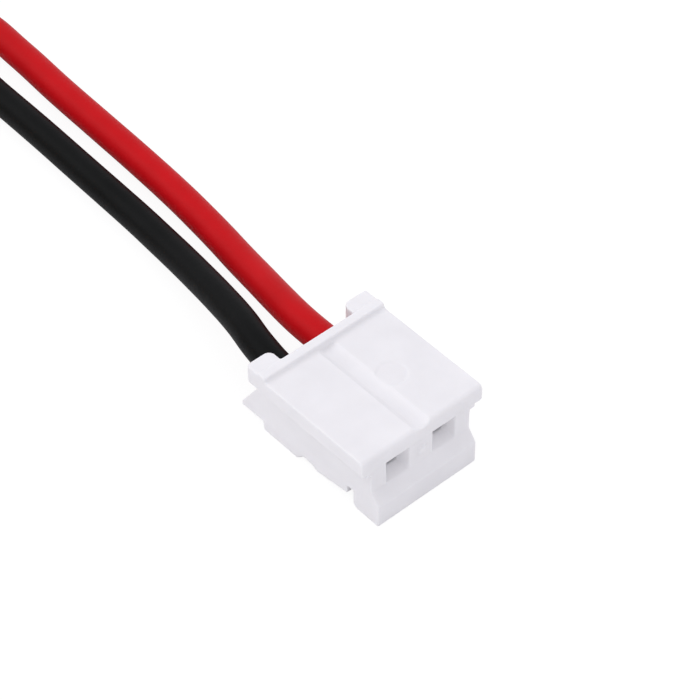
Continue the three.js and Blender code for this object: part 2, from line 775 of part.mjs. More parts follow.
// ---- the whole pack -------------------------------------------------------------------------------------
piece("pouch_base_sheet", pouchBaseSheet(), materials.laminate);
piece("pouch_cup", pouchCup(), materials.laminate);
piece("outer_separator", winding(0, sheetLayer), materials.separator);
piece("cathode_winding", winding(cathodeDepth, cathodeDepth + electrodeLayer), materials.cathode);
piece("inner_separator", winding(innerSeparatorDepth, innerSeparatorDepth + sheetLayer), materials.separator);
piece("anode_winding", winding(anodeDepth), materials.anode);
piece("roll_end_tape", rollEndTape(), materials.rollTape);
piece("positive_tab", tab(positiveTabX), materials.aluminium);
piece("negative_tab", tab(negativeTabX), materials.nickel);
piece("positive_tab_film", tabFilm(positiveTabX), materials.film);
piece("negative_tab_film", tabFilm(negativeTabX), materials.film);
const foamSpanZ = [terraceTop + fitGap, terraceTop + fitGap + foamHeight];
piece("board_foam_pad", block(boardSpanX, boardSpanY, foamSpanZ), materials.foam);
piece("protection_board", block(boardSpanX, boardSpanY, [boardBottom, boardTop]), materials.board);
piece("positive_bond_plate", bondPlate(positiveTabX), materials.nickel);
piece("negative_bond_plate", bondPlate(negativeTabX), materials.nickel);
for (const [name, x, y, length, depth, height, material] of boardParts) {
  piece(name, boardPart(x, y, length, depth, height), materials[material]);
}
piece("positive_solder_joint", solderJoint(positiveLeadX), materials.solder);
piece("negative_solder_joint", solderJoint(negativeLeadX), materials.solder);
piece("board_tape", boardTape(), materials.tape);
piece("blank_label", label(), materials.label);
lead("positive_lead", positiveRoute, materials.redPvc);
lead("negative_lead", negativeRoute, materials.blackPvc);
piece("plug_housing", plugHousing(), materials.nylon, plug);
for (const [pole, y] of [
  ["negative", -pitch / 2],
  ["positive", pitch / 2],
]) {
  piece(pole + "_contact", contact(y), materials.bronze, plug);
  piece(pole + "_contact_spring", contactSpring(y), materials.bronze, plug);
  piece(pole + "_contact_lance", contactLance(y), materials.bronze, plug);
}

export default group;
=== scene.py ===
import math

import bmesh
import bpy
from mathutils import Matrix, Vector, noise


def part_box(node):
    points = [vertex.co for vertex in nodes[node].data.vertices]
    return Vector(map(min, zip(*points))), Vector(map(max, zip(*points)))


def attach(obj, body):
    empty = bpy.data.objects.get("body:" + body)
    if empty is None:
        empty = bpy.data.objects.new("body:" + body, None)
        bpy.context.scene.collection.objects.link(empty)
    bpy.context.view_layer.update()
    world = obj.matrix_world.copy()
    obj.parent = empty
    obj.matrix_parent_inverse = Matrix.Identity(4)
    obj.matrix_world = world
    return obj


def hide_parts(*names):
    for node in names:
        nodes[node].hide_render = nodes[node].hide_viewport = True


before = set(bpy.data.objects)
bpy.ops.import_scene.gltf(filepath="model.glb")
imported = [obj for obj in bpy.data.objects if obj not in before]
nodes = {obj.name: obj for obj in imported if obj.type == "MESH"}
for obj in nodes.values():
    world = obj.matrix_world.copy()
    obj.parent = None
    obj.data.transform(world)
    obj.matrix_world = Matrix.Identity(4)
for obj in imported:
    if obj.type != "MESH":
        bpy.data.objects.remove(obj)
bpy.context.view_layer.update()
mm = 0.001

plugLow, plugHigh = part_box("plug_housing")
packLow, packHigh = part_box("pouch_base_sheet")
tapeLow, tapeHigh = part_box("board_tape")
plugFront = plugHigh[0] - 0.265 * mm  # the top plate's front edge, behind the nose of the lower lip
plugMiddle = (plugLow[1] + plugHigh[1]) / 2
packEnd = tapeHigh[1]


def hexColor(text):
    channels = [int(text[i:i + 2], 16) / 255 for i in (1, 3, 5)]
    linear = [c / 12.92 if c <= 0.04045 else ((c + 0.055) / 1.055) ** 2.4 for c in channels]
    return (*linear, 1.0)


def addNode(tree, kind, settings=None, links=None):
    # settings are the node's own values, links are its sockets: a value, or another node's output
    node = tree.nodes.new("ShaderNode" + kind)
    for name, value in (settings or {}).items():
        setattr(node, name, value)
    for name, value in (links or {}).items():
        socket = node.inputs[name]
        if isinstance(value, bpy.types.NodeSocket):
            tree.links.new(value, socket)
        else:
            socket.default_value = value
    return node


def newMaterial(name, shaderValues):
    material = bpy.data.materials.new(name)
    material.use_nodes = True
    tree = material.node_tree
    shader = tree.nodes["Principled BSDF"]
    for socket, value in shaderValues.items():
        shader.inputs[socket].default_value = value
    place = addNode(tree, "TexCoord").outputs["Object"]
    return material, tree, shader, place


# camera: a long lens that looks down on the plug from its front left
camera = {
    "lens": 141.2,
    "sensor": 36.0,
    "distance": 91.515,
    "azimuth": 48.37,
    "elevation": 46.21,
    "target": (-5.155, 1.459, 1.5),  # from the plug's front edge and middle, in mm
}


def makeCamera():
    azimuth = math.radians(camera["azimuth"])
    elevation = math.radians(camera["elevation"])
    away = Vector((-math.sin(azimuth), math.cos(azimuth), 0))
    forward = away * math.cos(elevation) - Vector((0, 0, 1)) * math.sin(elevation)
    x, y, z = camera["target"]
    target = Vector((plugFront + x * mm, plugMiddle + y * mm, z * mm))
    data = bpy.data.cameras.new("camera")
    data.lens = camera["lens"]
    data.sensor_width = camera["sensor"]
    data.clip_start = 0.001
    data.clip_end = 10
    data.dof.use_dof = False
    seen = bpy.data.objects.new("camera", data)
    seen.location = target - forward * camera["distance"] * mm
    seen.rotation_euler = forward.to_track_quat("-Z", "Y").to_euler()
    bpy.context.scene.collection.objects.link(seen)
    bpy.context.scene.camera = seen


makeCamera()
print("camera in place")


# leads: the routes are the CAD ones, in mm, and the y of the bend is counted from the pack's end
leads = {
    "diameter": 1.15,
    "boardStrip": 1.3,
    "conductorReach": 3.1,
    "boardHeight": 3.825,
    "wireAxis": 1.7,
    "plugEnd": -4.65,  # where the insulation stops, behind the plug's front
    "plugStrip": 1.2,
    "pitch": 2.0,
    "positiveX": -6.6,
    "negativeX": -4.4,
    "positiveBend": [
        (-6.62, 1.6, 3.35), (-6.55, 3.4, 2.25), (-6.1, 5.2, 1.2), (-5.15, 7.0, 0.68), (-3.9, 8.6, 0.59),
        (-2.2, 10.2, 0.59), (-0.3, 11.4, 0.59), (1.7, 12.0, 0.59), (4.4, 12.0, 0.59), (7.1, 11.85, 0.59),
        (9.6, 11.76, 0.59), (12.05, 11.67, 0.59), (14.5, 11.53, 0.59), (15.8, 11.4, 0.61),
        (17.1, 11.23, 0.66), (18.5, 10.97, 0.8), (19.95, 10.67, 1.05), (21.4, 10.34, 1.35),
        (22.8, 10.08, 1.6),
    ],
    "negativeBend": [
        (-4.42, 1.4, 3.4), (-4.35, 2.9, 2.45), (-4.0, 4.4, 1.4), (-3.2, 6.0, 0.74), (-2.1, 7.4, 0.59),
        (-0.6, 8.7, 0.59), (1.2, 9.6, 0.59), (3.4, 9.98, 0.59), (5.9, 9.95, 0.59), (8.4, 9.91, 0.59),
        (10.9, 9.83, 0.59), (13.3, 9.75, 0.6), (14.5, 9.7, 0.61), (15.8, 9.59, 0.67), (17.1, 9.44, 0.79),
        (18.45, 9.22, 0.99), (19.9, 8.93, 1.26), (21.36, 8.6, 1.51), (22.9, 8.2, 1.66),
    ],
}


def leadRoute(pole):
    # from where the insulation begins over the board to its end in the plug's crimp
    side = 1 if pole == "positive" else -1
    x = leads[pole + "X"]
    over = leads["boardHeight"]
    starts = [(x, leads["boardStrip"] - leads["conductorReach"], over), (x, 0, over)]
    points = [Vector(p) * mm + Vector((0, packEnd, 0)) for p in starts + leads[pole + "Bend"]]
    y = plugMiddle + side * leads["pitch"] / 2 * mm
    for back in (-5.7, leads["plugEnd"]):
        points.append(Vector((plugFront + back * mm, y, leads["wireAxis"] * mm)))
    return points


def curveThrough(name, points, diameter):
    data = bpy.data.curves.new(name, "CURVE")
    data.dimensions = "3D"
    data.resolution_u = 10
    data.bevel_depth = 1.0  # the points' own radius gives the thickness, so the curve's box fits it
    data.bevel_resolution = 7
    data.use_fill_caps = True
    spline = data.splines.new("BEZIER")
    spline.bezier_points.add(len(points) - 1)
    for bezier, point in zip(spline.bezier_points, points):
        bezier.co = point
        bezier.radius = diameter / 2
        bezier.handle_left_type = "AUTO"
        bezier.handle_right_type = "AUTO"
    made = bpy.data.objects.new(name, data)
    bpy.context.scene.collection.objects.link(made)
    return made


def meshPiece(name, points, faces, material, slotName, replaced=()):
    # a piece from its points in mm; it moves with the pack
    data = bpy.data.meshes.new(name)
    data.from_pydata([Vector(p) * mm for p in points], [], faces)
    shape = bmesh.new()
    shape.from_mesh(data)
    bmesh.ops.remove_doubles(shape, verts=shape.verts, dist=0.0005 * mm)
    bmesh.ops.recalc_face_normals(shape, faces=shape.faces)
    for face in shape.faces:
        face.smooth = True
    shape.to_mesh(data)
    shape.free()
    data.materials.append(material)
    made = bpy.data.objects.new(name, data)
    bpy.context.scene.collection.objects.link(made)
    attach(made, "pack")
    if replaced:
        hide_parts(*replaced)
    return made


def loft(rings):
    # skins rings of equally many points and closes both ends
    around = len(rings[0])
    points = [p for ring in rings for p in ring]
    faces = []
    for i in range(len(rings) - 1):
        for k in range(around):
            here, nextOne = i * around + k, i * around + (k + 1) % around
            faces.append((here, here + around, nextOne + around, nextOne))
    faces.append(tuple(range(around)))
    faces.append(tuple(range(len(points) - around, len(points))))
    return points, faces


def together(parts):
    # several lists of points and faces as one
    points, faces = [], []
    for somePoints, someFaces in parts:
        faces += [tuple(i + len(points) for i in face) for face in someFaces]
        points += somePoints
    return points, faces


def roundedSection(half, low, high, topRadius, lowRadius, perArc=7, perFlat=26, perSide=8):
    # a closed outline in x and z with rounded corners, always with the same number of points
    corners = [
        (half - topRadius, high - topRadius, topRadius),
        (topRadius - half, high - topRadius, topRadius),
        (lowRadius - half, low + lowRadius, lowRadius),
        (half - lowRadius, low + lowRadius, lowRadius),
    ]
    arcs = []
    for quarter, (x, z, radius) in enumerate(corners):
        turns = [math.radians(90 * (quarter + k / perArc)) for k in range(perArc + 1)]
        arcs.append([(x + radius * math.cos(t), z + radius * math.sin(t)) for t in turns])
    outline = []
    for quarter, arc in enumerate(arcs):
        end, start = Vector(arc[-1]), Vector(arcs[(quarter + 1) % 4][0])
        count = perSide if quarter % 2 else perFlat
        outline += arc + [tuple(end.lerp(start, k / count)) for k in range(1, count)]
    return outline


def press(piece, depthAt):
    # pushes each point of a skin inwards by a depth in mm that depends on its place
    data = piece.data
    normals = [v.normal.copy() for v in data.vertices]
    for vertex, normal in zip(data.vertices, normals):
        vertex.co -= normal * depthAt(vertex.co / mm, normal) * mm


def unevenness(x, y, z=0.0):
    # smooth noise from -1 to 1 that changes over about one unit
    return noise.noise(Vector((x, y, z)))


def grained(name, shaderValues, colors, cloudMm, grainMm, roughness, grainDepth):
    # a finish whose tint drifts over cloudMm, with a fine grain in its gloss and relief
    # real grain is a few hundredths of a millimetre at most, so grainMm is drawn coarser to show
    material, tree, shader, place = newMaterial(name, shaderValues)
    cloud = addNode(tree, "TexNoise", None, {"Vector": place, "Scale": 1 / (cloudMm * mm), "Detail": 3.0})
    tint = addNode(tree, "ValToRGB", None, {"Fac": cloud.outputs["Fac"]})
    for stop, position, color in zip(tint.color_ramp.elements, (0.3, 0.7), colors):
        stop.position = position
        stop.color = hexColor(color)
    tree.links.new(tint.outputs["Color"], shader.inputs["Base Color"])
    links = {"Vector": place, "Scale": 1 / (grainMm * mm), "Detail": 4.0, "Roughness": 0.6}
    grain = addNode(tree, "TexNoise", None, links).outputs["Fac"]
    links = {"Value": grain, "To Min": roughness[0], "To Max": roughness[1]}
    gloss = addNode(tree, "MapRange", None, links)
    tree.links.new(gloss.outputs["Result"], shader.inputs["Roughness"])
    bump = addNode(tree, "Bump", None, {"Height": grain, "Distance": grainDepth * mm, "Strength": 1.0})
    tree.links.new(bump.outputs["Normal"], shader.inputs["Normal"])
    return material, tree, shader, place


def addRelief(surface, kind, scaleMm, depthMm, strength=1.0, stretch=None, settings=None, **patternValues):
    # lays one more relief over those before it: a pattern about scaleMm across and depthMm deep
    material, tree, shader, place = surface
    if stretch:
        place = addNode(tree, "Mapping", None, {"Vector": place, "Scale": stretch}).outputs["Vector"]
    links = {"Vector": place, "Scale": 1 / (scaleMm * mm), **patternValues}
    pattern = addNode(tree, kind, settings, links)
    height = pattern.outputs["Distance" if kind == "TexVoronoi" else "Fac"]
    under = shader.inputs["Normal"].links[0].from_socket
    links = {"Height": height, "Distance": depthMm * mm, "Strength": strength, "Normal": under}
    bump = addNode(tree, "Bump", None, links)
    tree.links.new(bump.outputs["Normal"], shader.inputs["Normal"])
    return material


def softenNode(node, voxelMm, passes):
    # rounds a node's edges as moulding, stamping or melting does
    remesh = node.modifiers.new("even skin", "REMESH")
    remesh.mode = "VOXEL"
    remesh.voxel_size = voxelMm * mm
    remesh.use_smooth_shade = True
    smooth = node.modifiers.new("soft edges", "SMOOTH")
    smooth.factor = 0.5
    smooth.iterations = passes


def bevelNode(node, widthMm):
    bevel = node.modifiers.new("broken edges", "BEVEL")
    bevel.width = widthMm * mm
    bevel.segments = 2
    bevel.limit_method = "ANGLE"
    bevel.angle_limit = math.radians(35)


def setMaterial(node, material):
    node.data.materials.clear()
    node.data.materials.append(material)


# extruded flexible PVC: smooth, satin, with a faint unevenness from the die
def extrudedPvc(name, colors, gloss):
    values = {"IOR": 1.53, "Specular IOR Level": gloss}
    surface = grained(name, values, colors, 2.2, 0.09, (0.4, 0.52), 0.003)
    return addRelief(surface, "TexNoise", 0.7, 0.02, Detail=2.0)


# tinned copper strand: soft bright metal, dulled a little by handling
def tinnedCopper():
    colors = ("#B9B4A8", "#D2CEC4")
    return grained("drawn tinned copper", {"Metallic": 1.0}, colors, 0.5, 0.05, (0.22, 0.4), 0.002)[0]


strand = {
    "diameter": 0.18,
    "twist": 6.0,  # mm for one full turn
    "outer": 6,  # laid round a middle strand
    "steps": 10,
    "tucked": 0.2,  # reach under the insulation
}


def strandBundle(start, along, lengthMm):
    # straight bundle of twisted strands, from start in mm in the direction along
    along = Vector(along).normalized()
    side = along.cross(Vector((0, 0, 1))).normalized()
    over = side.cross(along)
    radius = strand["diameter"] / 2
    parts = []
    for number in range(strand["outer"] + 1):
        rings = []
        for step in range(strand["steps"] + 1):
            reach = lengthMm * step / strand["steps"]
            turn = math.tau * (number / strand["outer"] + reach / strand["twist"])
            lay = 0 if number == strand["outer"] else strand["diameter"]
            middle = Vector(start) + along * reach + lay * (side * math.cos(turn) + over * math.sin(turn))
            spots = [math.tau * k / 10 for k in range(10)]
            rings.append([middle + radius * (side * math.cos(t) + over * math.sin(t)) for t in spots])
        parts.append(loft(rings))
    return together(parts)


def makeLead(pole, copper):
    points = leadRoute(pole)
    side = 1 if pole == "positive" else -1
    boardEnd = (leads[pole + "X"], packEnd / mm - leads["conductorReach"], leads["boardHeight"])
    plugY = plugMiddle / mm + side * leads["pitch"] / 2
    plugEnd = (plugFront / mm + leads["plugEnd"], plugY, leads["wireAxis"])
    parts = [
        strandBundle(boardEnd, (0, 1, 0), leads["boardStrip"] + strand["tucked"]),
        strandBundle(plugEnd, (1, 0, 0), leads["plugStrip"]),
    ]
    name = pole + "_lead"
    ends = meshPiece(name + "_strands", *together(parts), copper, "tinned_copper", [name + "_conductor"])
    lead = curveThrough(name, points, leads["diameter"] * mm)
    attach(lead, "pack")
    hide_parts(name + "_insulation")
    return lead


copper = tinnedCopper()
positiveLead = makeLead("positive", copper)
negativeLead = makeLead("negative", copper)
positiveLead.data.materials.append(extrudedPvc("red extruded PVC", ("#B80911", "#C40D16"), 0.08))
negativeLead.data.materials.append(extrudedPvc("black extruded PVC", ("#0D0E0E", "#121313"), 0.06))
print("leads laid")


# moulded natural nylon 66: milky, a little light goes in, fine spark-eroded grain, softly rounded edges
def mouldedNylon():
    values = {
        "IOR": 1.53,
        "Subsurface Weight": 0.35,
        "Subsurface Radius": (1.0, 0.96, 0.92),
        "Subsurface Scale": 0.15 * mm,
    }
    colors = ("#E6E5E7", "#ECEBED")
    surface = grained("moulded natural nylon", values, colors, 1.6, 0.05, (0.36, 0.52), 0.003)
    return addRelief(surface, "TexNoise", 0.9, 0.02, Detail=2.0)


# stamped phosphor bronze under thin tin: warm metal with faint lines from rolling, its colour painted much
# darker than tin as painted shade so the deep pin holes read dark
def bronzeDarkenedAsPaintedShade():
    values = {"Metallic": 1.0}
    # painted shade: these colours are darker than the metal's own, to darken the pin holes
    colors = ("#454036", "#5C5749")
    surface = grained("stamped tinned phosphor bronze darkened as painted shade", values, colors, 0.6, 0.04, (0.2, 0.3), 0.002)
    return addRelief(surface, "TexNoise", 0.3, 0.003, 0.6, stretch=(1.0, 12.0, 1.0), Detail=2.0)


plug = {"voxel": 0.032, "smoothPasses": 7, "contactVoxel": 0.024, "contactPasses": 3}


def finishPlug():
    softenNode(nodes["plug_housing"], plug["voxel"], plug["smoothPasses"])
    setMaterial(nodes["plug_housing"], mouldedNylon())
    # the contacts take the bronze whose colour is darkened as painted shade
    shadeDarkenedBronze = bronzeDarkenedAsPaintedShade()
    for name, node in nodes.items():
        if "_contact" in name:
            softenNode(node, plug["contactVoxel"], plug["contactPasses"])
            setMaterial(node, shadeDarkenedBronze)


finishPlug()
print("plug and contacts finished")


# deep-drawn aluminium laminate: metal behind a clear nylon skin, satin, with long soft wrinkles
def pouchLaminate(name, creaseDepth):
    values = {"Metallic": 0.9, "Coat Weight": 0.35, "Coat Roughness": 0.22, "Coat IOR": 1.53}
    surface = grained(name, values, ("#BDBFC2", "#D6D8DA"), 6.0, 0.12, (0.22, 0.34), 0.004)
    along = (0.5, 1.6, 1.0)
    return addRelief(surface, "TexNoise", 2.4, creaseDepth, stretch=along, Detail=4.0, Roughness=0.55)


pouch = {
    "topRadius": 1.5,
    "lowRadius": 0.5,
    "rearRound": 0.6,
    "frontRound": 0.6,
    "crown": 0.05,
    "seamHeight": 4.95,
    "seamThickness": 0.2,
    "seamSteps": 110,
    "seamEndGap": 0.5,
    "seamCorner": 0.7,  # how far the seam's two ends are cut down
    "seamWave": 0.035,  # at seamWaveHeight above the table
    "seamWaveHeight": 5,
    "sealPitch": 0.8,  # waffle of the heat-seal bar
    "sealDepth": 0.035,
    "sealTop": 0.7,
    "sealBack": 1.0,  # how far the sealed end reaches under the drawn cup
    "dentEven": 0.05,
    "dentBroad": 0.06,
    "dentFine": 0.02,
    "dentPucker": 0.07,
    "puckerReach": 3.5,  # from each end
}
cupLow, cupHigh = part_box("pouch_cup")
boardLow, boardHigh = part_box("protection_board")
bodyFront = boardLow[1] / mm - 0.25  # where the drawn cup ends and the sealed end begins


def pouchSection(y, inset):
    half = cupHigh[0] / mm - inset
    low, high = packLow[2] / mm + inset, cupHigh[2] / mm - inset
    top = max(pouch["topRadius"] - inset * 0.6, 0.12)
    bottom = max(pouch["lowRadius"] - inset * 0.3, 0.1)
    return [(x, y, z) for x, z in roundedSection(half, low, high, top, bottom)]


def makePouchBody(material):
    rear, front = packLow[1] / mm, bodyFront
    quarter = [math.radians(90 * k / 7) for k in range(8)]
    rings = [pouchSection(rear, inset) for inset in (2.5, 2.0, 1.5, 1.0)]
    edge = pouch["rearRound"]
    for t in reversed(quarter):
        rings.append(pouchSection(rear + edge * (1 - math.sin(t)), edge * (1 - math.cos(t))))
    steps = 70
    first, last = rear + pouch["rearRound"], front - pouch["frontRound"]
    rings += [pouchSection(first + (last - first) * k / steps, 0) for k in range(1, steps)]
    edge = pouch["frontRound"]
    for t in quarter:
        rings.append(pouchSection(front - edge * (1 - math.sin(t)), edge * (1 - math.cos(t))))
    rings += [pouchSection(front, inset) for inset in (1.0, 1.5, 2.0, 2.5)]
    body = meshPiece("pouch_body", *loft(rings), material, "aluminium_laminate", ["pouch_cup"])
    press(body, pouchDent)
    return body


def pouchDent(p, normal):
    # broad softness everywhere, sharper puckers near both ends, and a crowned top
    nearEnd = max(0, 1 - min(p.y - packLow[1] / mm, bodyFront - p.y) / pouch["puckerReach"])
    pucker = max(0, 1 - 7 * abs(unevenness(p.x / 1.6, p.y / 5, p.z / 1.6)))
    broad = pouch["dentEven"] + pouch["dentBroad"] * unevenness(p.x / 6, p.y / 7, p.z / 4)
    fine = pouch["dentFine"] * unevenness(p.x / 1.5, p.y / 2.2, p.z / 1.5)
    crown = pouch["crown"] * (p.x / (cupHigh[0] / mm)) ** 2 * max(0, normal.z)
    return broad + fine + crown + pouch["dentPucker"] * pucker * nearEnd


def makeFoldedSeam(side, material):
    # the sealed edge, doubled over and folded up against the pouch's side
    middle = cupHigh[0] / mm + pouch["seamThickness"] / 2 - 0.05
    steps = pouch["seamSteps"]
    start = packLow[1] / mm + pouch["seamEndGap"]
    rings = []
    for k in range(steps + 1):
        y = start + (bodyFront - start) * k / steps
        cut = pouch["seamCorner"] * max(0, 1 - min(k, steps - k) / 4) ** 2
        top = packLow[2] / mm + pouch["seamHeight"] + 0.07 * unevenness(y / 2.4, side) - cut
        ring = []
        for x, z in roundedSection(pouch["seamThickness"] / 2, 0.12, top, 0.09, 0.09, 3, 2, 12):
            wave = pouch["seamWave"] * unevenness(y / 3, z / 2, side) * z / pouch["seamWaveHeight"]
            ring.append((side * (middle + x + wave), y, z))
        rings.append(ring)
    name = "folded_seam_right" if side > 0 else "folded_seam_left"
    return meshPiece(name, *loft(rings), material, "aluminium_laminate")


def sealWaffle(p, normal):
    across = math.sin(math.tau * p.x / pouch["sealPitch"]) * math.sin(math.tau * p.y / pouch["sealPitch"])
    return pouch["sealDepth"] * (0.5 + 0.5 * across) * abs(normal.z)


def makeSealedEnd(material):
    # the thin end of the pouch, pressed flat between heated bars
    half, high = cupHigh[0] / mm, pouch["sealTop"]
    start, end = bodyFront - pouch["sealBack"], cupHigh[1] / mm
    steps = 36
    rings = []
    for k in range(steps + 1):
        y = start + (end - start) * k / steps
        outline = roundedSection(half, packLow[2] / mm, high, 0.1, 0.1, 3, 120, 3)
        rings.append([(x, y, z) for x, z in outline])
    sealed = meshPiece("sealed_end", *loft(rings), material, "aluminium_laminate", ["pouch_base_sheet"])
    press(sealed, sealWaffle)
    return sealed


laminate = pouchLaminate("deep-drawn aluminium laminate", 0.03)
sealedLaminate = pouchLaminate("heat-sealed aluminium laminate", 0.015)
makePouchBody(laminate)
makeSealedEnd(sealedLaminate)
for side in (-1, 1):
    makeFoldedSeam(side, sealedLaminate)
print("pouch formed")


# polyimide film: clear amber, glossy, with soft creases where it is folded over the board
def polyimideFilm():
    values = {"IOR": 1.7, "Alpha": 0.62, "Coat Weight": 0.5, "Coat Roughness": 0.06}
    colors = ("#B46E00", "#D59210")
    surface = grained("amber polyimide film", values, colors, 5.0, 0.3, (0.12, 0.24), 0.006)
    return addRelief(surface, "TexNoise", 1.8, 0.05, Detail=3.0, Roughness=0.6)


tape = {
    "thickness": 0.06,
    "step": 0.3,
    "round": 0.4,
    "frontHeight": 0.72,  # above the leads, where the slope begins
    "slopeKink": (1.1, 1.3),  # how far behind and above the front the slope bends
    "sag": 0.3,
    "sagChange": 0.2,
    "crease": 0.07,
    "collar": 0.3,  # how far the film bulges round each lead
    "collarWidth": 0.75,
    "foldRows": 12,
    "pleat": 0.09,
}


def rounded(points, radius, perCorner=5):
    # an open outline with its inner corners rounded
    points = [Vector(p) for p in points]
    out = [points[0]]
    for before, corner, after in zip(points, points[1:], points[2:]):
        reach = min(radius, (before - corner).length * 0.45, (after - corner).length * 0.45)
        start = corner + (before - corner).normalized() * reach
        end = corner + (after - corner).normalized() * reach
        for k in range(perCorner + 1):
            t = k / perCorner
            out.append(start.lerp(corner, t).lerp(corner.lerp(end, t), t))
    return out + [points[-1]]


def evenly(points, step):
    # the same outline with points about a step apart
    lengths = [0.0]
    for a, b in zip(points, points[1:]):
        lengths.append(lengths[-1] + (b - a).length)
    count = round(lengths[-1] / step)
    out, k = [], 0
    for i in range(count + 1):
        want = lengths[-1] * i / count
        while k < len(points) - 2 and lengths[k + 1] < want:
            k += 1
        share = (want - lengths[k]) / max(lengths[k + 1] - lengths[k], 1e-9)
        out.append(points[k].lerp(points[k + 1], share))
    return out


def tapeOutline():
    # y and z of the wrap seen from its side: under the pack, up its end and back over the board
    back, front = tapeLow[1] / mm + 0.02, packEnd / mm - 0.03
    low, high = tapeLow[2] / mm, tapeHigh[2] / mm - 0.03
    over = leads["boardHeight"]
    kinkBack, kinkUp = tape["slopeKink"]
    corners = [
        (back, low), (front, low), (front, over + tape["frontHeight"]), (front - kinkBack, over + kinkUp),
        (bodyFront + 0.1, high), (back, high),
    ]
    return evenly(rounded(corners, tape["round"]), tape["step"])


def tapeSag(p, normal):
    # the unsupported slope sags between the pouch's shoulder and the board's parts
    depth = 0.03 * unevenness(p.x / 1.3, p.y / 1.3, p.z / 1.3) if p.z > 0.3 else 0.0
    if p.y > bodyFront and p.z > leads["boardHeight"]:
        share = min((p.y - bodyFront) / (packEnd / mm - bodyFront), 1)
        sag = tape["sag"] + tape["sagChange"] * unevenness(p.x / 2.6, 3.1)
        crease = max(0, 1 - 8 * abs(unevenness(p.x / 2.1, p.y / 4 + p.z / 4, 1.7)))
        depth += (sag + tape["crease"] * crease) * math.sin(math.pi * share)
    if p.y > packEnd / mm - 0.5:
        for x in (leads["positiveX"], leads["negativeX"]):
            away = math.hypot(p.x - x, p.z - leads["boardHeight"])
            depth -= tape["collar"] * math.exp(-((away / tape["collarWidth"]) ** 2))
        depth += 0.05 + 0.06 * unevenness(p.x / 2.2, 5.3, p.z / 1.5)
    return depth


def thicken(piece, thicknessMm):
    solid = piece.modifiers.new("film thickness", "SOLIDIFY")
    solid.thickness = thicknessMm * mm
    solid.offset = -1


def gridFaces(rows, columns):
    faces = []
    for i in range(rows - 1):
        for k in range(columns - 1):
            here = i * columns + k
            faces.append((here, here + columns, here + columns + 1, here + 1))
    return faces


def makeTapeWrap(material):
    outline = tapeOutline()
    half = tapeHigh[0] / mm
    columns = round(2 * half / tape["step"])
    points = [(half * (2 * k / columns - 1), p.x, p.y) for p in outline for k in range(columns + 1)]
    faces = gridFaces(len(outline), columns + 1)
    wrap = meshPiece("polyimide_tape", points, faces, material, "polyimide_tape", ["board_tape"])
    press(wrap, tapeSag)
    thicken(wrap, tape["thickness"])


def makeTapeFold(side, material):
    # the wrap's end is tucked in like the end of a parcel, towards the board's own edge
    outline = [p for p in tapeOutline() if p.x > bodyFront - 0.3]
    middle = Vector((bodyFront - 0.25, 2.7))
    rows = tape["foldRows"]
    points = []
    for k in range(rows + 1):
        share = k / rows
        for i, p in enumerate(outline):
            spot = p.lerp(middle, share)
            pleat = tape["pleat"] * abs(math.sin(i * 0.55 + 0.4 * side)) * math.sin(math.pi * share)
            x = tapeHigh[0] / mm - 0.03 * min(1, 4 * share) - pleat
            points.append((side * (x + 0.02 * unevenness(spot.x, spot.y, side)), spot.x, spot.y))
    name = "tape_fold_right" if side > 0 else "tape_fold_left"
    fold = meshPiece(name, points, gridFaces(rows + 1, len(outline)), material, "polyimide_tape")
    thicken(fold, tape["thickness"])


amberFilm = polyimideFilm()
makeTapeWrap(amberFilm)
for side in (-1, 1):
    makeTapeFold(side, amberFilm)
print("tape wrapped")


label = {
    "corner": 1.0,
    "thickness": 0.05,
    "standOff": 0.012,  # glue under the film
    "bands": [(-2.0, "#E8EAEC"), (3.4, "#DE7A1E"), (4.6, "#E8EAEC")],  # where each colour begins, in mm
}


# gloss-laminated polyester label: printed bands under a clear film, no lettering
def printedLabel():
    values = {"IOR": 1.57, "Coat Weight": 0.6, "Coat Roughness": 0.12}
    colors = ("#22324F", "#273A5C")
    surface = grained("printed polyester label", values, colors, 4.0, 0.1, (0.3, 0.42), 0.002)
    material, tree, shader, place = surface
    along = addNode(tree, "SeparateXYZ", None, {"Vector": place}).outputs["Y"]
    color = shader.inputs["Base Color"].links[0].from_socket
    for start, band in label["bands"]:
        past = addNode(tree, "Math", {"operation": "GREATER_THAN"}, {0: along, 1: start * mm})
        mix = addNode(tree, "Mix", {"data_type": "RGBA"}, {"Factor": past.outputs[0]})
        tree.links.new(color, mix.inputs[6])
        mix.inputs[7].default_value = hexColor(band)
        color = mix.outputs[2]
    tree.links.new(color, shader.inputs["Base Color"])
    return material


def makeLabel(material):
    low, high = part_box("blank_label")
    middle, half = (low + high) / 2 / mm, (high - low) / 2 / mm
    rows, columns = 90, 60
    points = []
    for i in range(rows + 1):
        for k in range(columns + 1):
            x, y = half.x * (2 * k / columns - 1), half.y * (2 * i / rows - 1)
            overX, overY = abs(x) - half.x + label["corner"], abs(y) - half.y + label["corner"]
            if overX > 0 and overY > 0 and math.hypot(overX, overY) > label["corner"]:
                shrink = label["corner"] / math.hypot(overX, overY)
                x = math.copysign(half.x - label["corner"] + overX * shrink, x)
                y = math.copysign(half.y - label["corner"] + overY * shrink, y)
            spot = Vector((middle.x + x, middle.y + y, cupHigh[2] / mm))
            z = spot.z - pouchDent(spot, Vector((0, 0, 1))) + label["thickness"] + label["standOff"]
            points.append((spot.x, spot.y, z))
    faces = gridFaces(rows + 1, columns + 1)
    made = meshPiece("label", points, faces, material, "label_film", ["blank_label"])
    thicken(made, label["thickness"])


makeLabel(printedLabel())
print("label laid on")


# glass-epoxy board: green solder mask over fine copper lines, pale edges
def solderMask():
    values = {"IOR": 1.5, "Coat Weight": 0.4, "Coat Roughness": 0.2}
    colors = ("#0F4A2C", "#17603A")
    surface = grained("green solder-masked glass epoxy", values, colors, 1.2, 0.08, (0.3, 0.45), 0.003)
    return addRelief(surface, "TexVoronoi", 0.55, 0.02, 0.7, settings={"distance": "CHEBYCHEV"})


